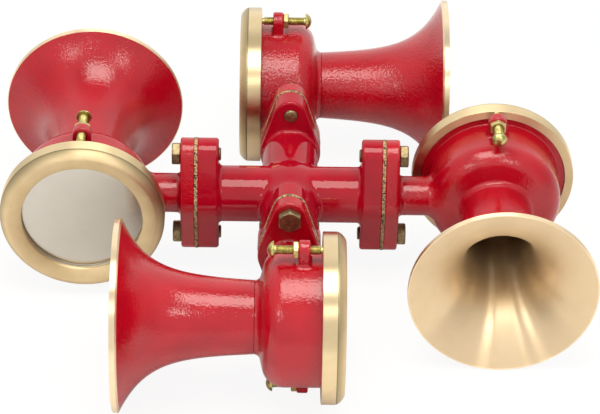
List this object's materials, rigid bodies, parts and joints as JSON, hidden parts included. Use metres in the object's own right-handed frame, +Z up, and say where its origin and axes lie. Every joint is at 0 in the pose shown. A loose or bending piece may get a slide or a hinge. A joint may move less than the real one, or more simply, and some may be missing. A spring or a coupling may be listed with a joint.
{
  "type": "air horn cluster",
  "caption": "Cross of diaphragm air horns with brass-lined bells, screwed clamp rings and bolted oval flanges on one threaded air manifold.",
  "frame": {"origin": "on the surface that the cluster rests on, under the manifold's centre", "axes": "+Z up, out of the manifold's top; +X along the arm of the right horn, +Y along the arm of the far horn; the inlet opens towards -Z"},
  "size_m": [0.518, 0.518, 0.16],
  "materials": {
    "manifold_paint": "thick gloss red paint over a casting",
    "horn_paint": "gloss red paint over a sand casting, with turned brass in the bell",
    "ring_brass": "satin, turned",
    "disc_steel": "fine polished sheet",
    "yellow_zinc": "yellow passivated zinc",
    "bolt_brass": "dull, handled",
    "gasket_fibre": "compressed fibre, matt",
    "seal_rubber": "matt"
  },
  "bodies": {
    "root": {"manifold": "manifold_paint", "inlet_bush": "bolt_brass", "far_housing": "horn_paint", "far_trumpet": "horn_paint", "far_diaphragm_seal": "seal_rubber", "far_flange_gasket": "gasket_fibre", "far_flange_bolts": "bolt_brass", "left_housing": "horn_paint", "left_trumpet": "horn_paint", "left_diaphragm_seal": "seal_rubber", "left_flange_gasket": "gasket_fibre", "left_flange_bolts": "bolt_brass", "near_housing": "horn_paint", "near_trumpet": "horn_paint", "near_diaphragm_seal": "seal_rubber", "near_flange_gasket": "gasket_fibre", "near_flange_bolts": "bolt_brass", "right_housing": "horn_paint", "right_trumpet": "horn_paint", "right_diaphragm_seal": "seal_rubber", "right_flange_gasket": "gasket_fibre", "right_flange_bolts": "bolt_brass"},
    "far_diaphragm": {"far_diaphragm": "disc_steel"},
    "far_slip_ring": {"far_slip_ring": "disc_steel"},
    "far_clamp_ring": {"far_clamp_ring": "ring_brass"},
    "far_upper_lock_nut": {"far_upper_lock_nut": "yellow_zinc"},
    "far_upper_lock_screw": {"far_upper_lock_screw": "yellow_zinc"},
    "far_lower_lock_nut": {"far_lower_lock_nut": "yellow_zinc"},
    "far_lower_lock_screw": {"far_lower_lock_screw": "yellow_zinc"},
    "left_diaphragm": {"left_diaphragm": "disc_steel"},
    "left_slip_ring": {"left_slip_ring": "disc_steel"},
    "left_clamp_ring": {"left_clamp_ring": "ring_brass"},
    "left_upper_lock_nut": {"left_upper_lock_nut": "yellow_zinc"},
    "left_upper_lock_screw": {"left_upper_lock_screw": "yellow_zinc"},
    "left_lower_lock_nut": {"left_lower_lock_nut": "yellow_zinc"},
    "left_lower_lock_screw": {"left_lower_lock_screw": "yellow_zinc"},
    "near_diaphragm": {"near_diaphragm": "disc_steel"},
    "near_slip_ring": {"near_slip_ring": "disc_steel"},
    "near_clamp_ring": {"near_clamp_ring": "ring_brass"},
    "near_upper_lock_nut": {"near_upper_lock_nut": "yellow_zinc"},
    "near_upper_lock_screw": {"near_upper_lock_screw": "yellow_zinc"},
    "near_lower_lock_nut": {"near_lower_lock_nut": "yellow_zinc"},
    "near_lower_lock_screw": {"near_lower_lock_screw": "yellow_zinc"},
    "right_diaphragm": {"right_diaphragm": "disc_steel"},
    "right_slip_ring": {"right_slip_ring": "disc_steel"},
    "right_clamp_ring": {"right_clamp_ring": "ring_brass"},
    "right_upper_lock_nut": {"right_upper_lock_nut": "yellow_zinc"},
    "right_upper_lock_screw": {"right_upper_lock_screw": "yellow_zinc"},
    "right_lower_lock_nut": {"right_lower_lock_nut": "yellow_zinc"},
    "right_lower_lock_screw": {"right_lower_lock_screw": "yellow_zinc"}
  },
  "joints": [
    {"name": "far_diaphragm_lift", "type": "slide", "parent": "root", "child": "far_diaphragm", "axis": [-1, 0, 0], "range_m": [0, 0.00025], "stiffness_N_per_m": 500},
    {"name": "far_ring_feed", "type": "slide", "parent": "root", "child": "far_slip_ring", "axis": [-1, 0, 0], "range_m": [0, 0.00401]},
    {"name": "far_ring_turn", "type": "hinge", "parent": "far_slip_ring", "child": "far_clamp_ring", "pos_m": [-0.04, 0.179, 0.08], "axis": [-1, 0, 0], "range_deg": [0, 720]},
    {"name": "far_upper_screw_feed", "type": "slide", "parent": "root", "child": "far_upper_lock_nut", "axis": [1, 0, 0], "range_m": [0, 0.00376]},
    {"name": "far_upper_screw_turn", "type": "hinge", "parent": "far_upper_lock_nut", "child": "far_upper_lock_screw", "pos_m": [0, 0.179, 0.1485], "axis": [1, 0, 0], "range_deg": [0, 1080]},
    {"name": "far_lower_screw_feed", "type": "slide", "parent": "root", "child": "far_lower_lock_nut", "axis": [1, 0, 0], "range_m": [0, 0.00376]},
    {"name": "far_lower_screw_turn", "type": "hinge", "parent": "far_lower_lock_nut", "child": "far_lower_lock_screw", "pos_m": [0, 0.179, 0.0115], "axis": [1, 0, 0], "range_deg": [0, 1080]},
    {"name": "left_diaphragm_lift", "type": "slide", "parent": "root", "child": "left_diaphragm", "axis": [0, -1, 0], "range_m": [0, 0.00025], "stiffness_N_per_m": 500},
    {"name": "left_ring_feed", "type": "slide", "parent": "root", "child": "left_slip_ring", "axis": [0, -1, 0], "range_m": [0, 0.00401]},
    {"name": "left_ring_turn", "type": "hinge", "parent": "left_slip_ring", "child": "left_clamp_ring", "pos_m": [-0.179, -0.04, 0.08], "axis": [0, -1, 0], "range_deg": [0, 720]},
    {"name": "left_upper_screw_feed", "type": "slide", "parent": "root", "child": "left_upper_lock_nut", "axis": [0, 1, 0], "range_m": [0, 0.00376]},
    {"name": "left_upper_screw_turn", "type": "hinge", "parent": "left_upper_lock_nut", "child": "left_upper_lock_screw", "pos_m": [-0.179, 0, 0.1485], "axis": [0, 1, 0], "range_deg": [0, 1080]},
    {"name": "left_lower_screw_feed", "type": "slide", "parent": "root", "child": "left_lower_lock_nut", "axis": [0, 1, 0], "range_m": [0, 0.00376]},
    {"name": "left_lower_screw_turn", "type": "hinge", "parent": "left_lower_lock_nut", "child": "left_lower_lock_screw", "pos_m": [-0.179, 0, 0.0115], "axis": [0, 1, 0], "range_deg": [0, 1080]},
    {"name": "near_diaphragm_lift", "type": "slide", "parent": "root", "child": "near_diaphragm", "axis": [1, 0, 0], "range_m": [0, 0.00025], "stiffness_N_per_m": 500},
    {"name": "near_ring_feed", "type": "slide", "parent": "root", "child": "near_slip_ring", "axis": [1, 0, 0], "range_m": [0, 0.00401]},
    {"name": "near_ring_turn", "type": "hinge", "parent": "near_slip_ring", "child": "near_clamp_ring", "pos_m": [0.04, -0.179, 0.08], "axis": [1, 0, 0], "range_deg": [0, 720]},
    {"name": "near_upper_screw_feed", "type": "slide", "parent": "root", "child": "near_upper_lock_nut", "axis": [-1, 0, 0], "range_m": [0, 0.00376]},
    {"name": "near_upper_screw_turn", "type": "hinge", "parent": "near_upper_lock_nut", "child": "near_upper_lock_screw", "pos_m": [0, -0.179, 0.1485], "axis": [-1, 0, 0], "range_deg": [0, 1080]},
    {"name": "near_lower_screw_feed", "type": "slide", "parent": "root", "child": "near_lower_lock_nut", "axis": [-1, 0, 0], "range_m": [0, 0.00376]},
    {"name": "near_lower_screw_turn", "type": "hinge", "parent": "near_lower_lock_nut", "child": "near_lower_lock_screw", "pos_m": [0, -0.179, 0.0115], "axis": [-1, 0, 0], "range_deg": [0, 1080]},
    {"name": "right_diaphragm_lift", "type": "slide", "parent": "root", "child": "right_diaphragm", "axis": [0, 1, 0], "range_m": [0, 0.00025], "stiffness_N_per_m": 500},
    {"name": "right_ring_feed", "type": "slide", "parent": "root", "child": "right_slip_ring", "axis": [0, 1, 0], "range_m": [0, 0.00401]},
    {"name": "right_ring_turn", "type": "hinge", "parent": "right_slip_ring", "child": "right_clamp_ring", "pos_m": [0.179, 0.04, 0.08], "axis": [0, 1, 0], "range_deg": [0, 720]},
    {"name": "right_upper_screw_feed", "type": "slide", "parent": "root", "child": "right_upper_lock_nut", "axis": [0, -1, 0], "range_m": [0, 0.00376]},
    {"name": "right_upper_screw_turn", "type": "hinge", "parent": "right_upper_lock_nut", "child": "right_upper_lock_screw", "pos_m": [0.179, 0, 0.1485], "axis": [0, -1, 0], "range_deg": [0, 1080]},
    {"name": "right_lower_screw_feed", "type": "slide", "parent": "root", "child": "right_lower_lock_nut", "axis": [0, -1, 0], "range_m": [0, 0.00376]},
    {"name": "right_lower_screw_turn", "type": "hinge", "parent": "right_lower_lock_nut", "child": "right_lower_lock_screw", "pos_m": [0.179, 0, 0.0115], "axis": [0, -1, 0], "range_deg": [0, 1080]}
  ],
  "couplings": [
    {"joint": "far_ring_feed", "follows": "far_ring_turn", "m_per_rad": 0.00031831},
    {"joint": "far_upper_screw_feed", "follows": "far_upper_screw_turn", "m_per_rad": 0.00019894},
    {"joint": "far_lower_screw_feed", "follows": "far_lower_screw_turn", "m_per_rad": 0.00019894},
    {"joint": "left_ring_feed", "follows": "left_ring_turn", "m_per_rad": 0.00031831},
    {"joint": "left_upper_screw_feed", "follows": "left_upper_screw_turn", "m_per_rad": 0.00019894},
    {"joint": "left_lower_screw_feed", "follows": "left_lower_screw_turn", "m_per_rad": 0.00019894},
    {"joint": "near_ring_feed", "follows": "near_ring_turn", "m_per_rad": 0.00031831},
    {"joint": "near_upper_screw_feed", "follows": "near_upper_screw_turn", "m_per_rad": 0.00019894},
    {"joint": "near_lower_screw_feed", "follows": "near_lower_screw_turn", "m_per_rad": 0.00019894},
    {"joint": "right_ring_feed", "follows": "right_ring_turn", "m_per_rad": 0.00031831},
    {"joint": "right_upper_screw_feed", "follows": "right_upper_screw_turn", "m_per_rad": 0.00019894},
    {"joint": "right_lower_screw_feed", "follows": "right_lower_screw_turn", "m_per_rad": 0.00019894}
  ]
}
